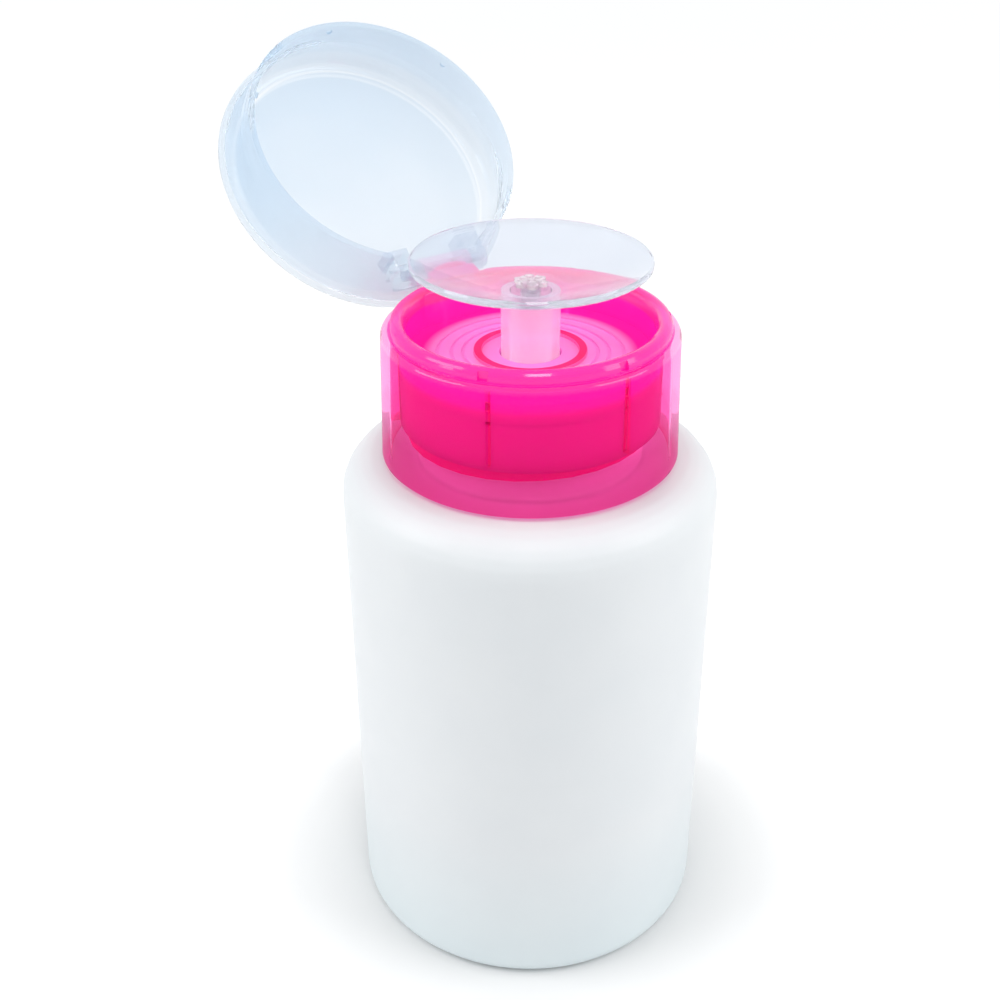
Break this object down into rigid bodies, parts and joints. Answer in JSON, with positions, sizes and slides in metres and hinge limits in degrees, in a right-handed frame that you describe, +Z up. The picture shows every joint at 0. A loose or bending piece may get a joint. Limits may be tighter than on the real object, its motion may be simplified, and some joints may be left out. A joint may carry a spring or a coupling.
{
  "type": "pump oil bottle",
  "caption": "Round translucent oil bottle with a screw collar, a dish that is pressed down to pump oil up into it, and a clear flip lid on a rear hinge.",
  "frame": {"origin": "centre of the ring that the bottle stands on, on the table's plane", "axes": "+Z up along the bottle's axis; +Y to the back, where the lid's hinge is; +X to the right seen from the front"},
  "size_m": [0.062, 0.0983, 0.1481],
  "materials": {
    "bottle_plastic": "frosted, milky and translucent",
    "pink_plastic": "glossy, slightly translucent pink",
    "clear_plastic": "glossy and clear",
    "frosted_plastic": "milky natural plastic",
    "stem_plastic": "glossy natural plastic",
    "white_plastic": "satin white",
    "seal_rubber": "soft grey",
    "steel": "bright stainless"
  },
  "bodies": {
    "bottle": {"bottle": "bottle_plastic"},
    "pump": {"neck_gasket": "white_plastic", "pump_cylinder": "white_plastic", "guide_bush": "white_plastic", "stem_seal": "seal_rubber", "ball_cage": "white_plastic", "dip_tube": "frosted_plastic", "return_spring": "steel"},
    "collar": {"collar": "pink_plastic"},
    "lid": {"lid": "clear_plastic", "hinge_pin": "clear_plastic"},
    "press": {"press_dish": "clear_plastic", "outlet_plug": "frosted_plastic", "stem_tube": "stem_plastic", "plunger_rod": "white_plastic", "piston_seal": "seal_rubber", "ball_retainer": "white_plastic"},
    "inlet_ball": {"inlet_ball": "steel"},
    "outlet_ball": {"outlet_ball": "steel"}
  },
  "joints": [
    {"name": "pump_rise", "type": "slide", "parent": "bottle", "child": "pump", "axis": [0, 0, 1], "range_m": [0, 0.00315]},
    {"name": "collar_turn", "type": "hinge", "parent": "pump", "child": "collar", "pos_m": [0, 0, 0.1], "axis": [0, 0, 1], "range_deg": [0, 270]},
    {"name": "lid_hinge", "type": "hinge", "parent": "collar", "child": "lid", "pos_m": [0, 0.0241, 0.1137], "axis": [1, 0, 0], "range_deg": [0, 137]},
    {"name": "dish_press", "type": "slide", "parent": "pump", "child": "press", "axis": [0, 0, -1], "range_m": [0, 0.0075], "stiffness_N_per_m": 400, "springref_m": -0.005, "deforming": ["return_spring"]},
    {"name": "inlet_ball_lift", "type": "slide", "parent": "pump", "child": "inlet_ball", "axis": [0, 0, 1], "range_m": [0, 0.0012]},
    {"name": "outlet_ball_lift", "type": "slide", "parent": "press", "child": "outlet_ball", "axis": [0, 0, 1], "range_m": [0, 0.001]}
  ],
  "couplings": [
    {"joint": "collar_turn", "follows": "pump_rise", "rad_per_m": 1496}
  ]
}
